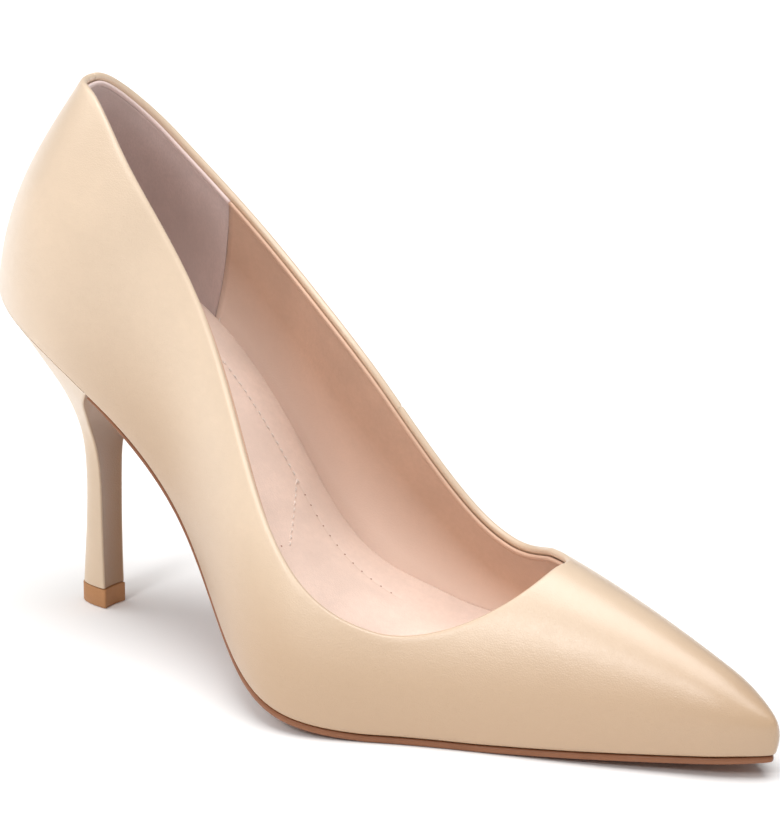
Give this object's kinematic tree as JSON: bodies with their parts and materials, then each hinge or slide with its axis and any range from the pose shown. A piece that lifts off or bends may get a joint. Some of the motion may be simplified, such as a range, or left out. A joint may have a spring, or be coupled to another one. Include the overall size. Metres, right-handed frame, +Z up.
{
  "type": "high heel pump",
  "caption": "Closed pointed-toe court shoe for the right foot: low-cut leather upper, lined foot cavity, slim leather-covered high heel with a top piece, thin sole.",
  "frame": {"origin": "on the floor, under the centre of the shoe's bounding box", "axes": "+X from the heel towards the toe, +Y towards the medial (inner) side of the foot, +Z up"},
  "size_m": [0.24, 0.0824, 0.1457],
  "materials": {
    "upper_leather": "smooth nude leather, satin",
    "lining_leather": "tan-pink lining leather, matt",
    "grip_suede": "greyish mauve microfibre suede",
    "leatherboard": "raw leatherboard",
    "puff_sheet": "thermoplastic toe puff sheet",
    "tape": "woven reinforcement tape",
    "cellulose_board": "cellulose insole board",
    "shank_fibreboard": "hard fibreboard",
    "steel": "plain steel",
    "brass": "brass tubular rivet",
    "cork_filler": "cork and latex filler",
    "foam": "latex foam",
    "sock_leather": "pale pink sock leather, matt",
    "sole_rubber": "reddish brown resin sole, semi-matt",
    "heel_leather": "heel-cover leather matched to the upper, satin",
    "heel_plastic": "moulded ABS",
    "top_piece_polyurethane": "tan polyurethane, matt"
  },
  "bodies": {
    "root": {"vamp_upper": "upper_leather", "medial_quarter": "upper_leather", "vamp_lining": "lining_leather", "heel_grip_lining": "grip_suede", "heel_counter": "leatherboard", "toe_puff": "puff_sheet", "topline_tape": "tape", "insole_board": "cellulose_board", "shank_board": "shank_fibreboard", "steel_shank": "steel", "shank_rivet_1": "brass", "shank_rivet_2": "brass", "bottom_filler": "cork_filler", "sock_foam": "foam", "sock_lining": "sock_leather", "outsole": "sole_rubber", "heel_cover": "heel_leather", "heel_core": "heel_plastic", "heel_tube": "steel", "top_piece": "top_piece_polyurethane", "top_piece_pin": "steel", "heel_nail_1": "steel", "heel_nail_2": "steel", "heel_nail_3": "steel", "heel_nail_4": "steel", "heel_screw": "steel"}
  },
  "joints": []
}
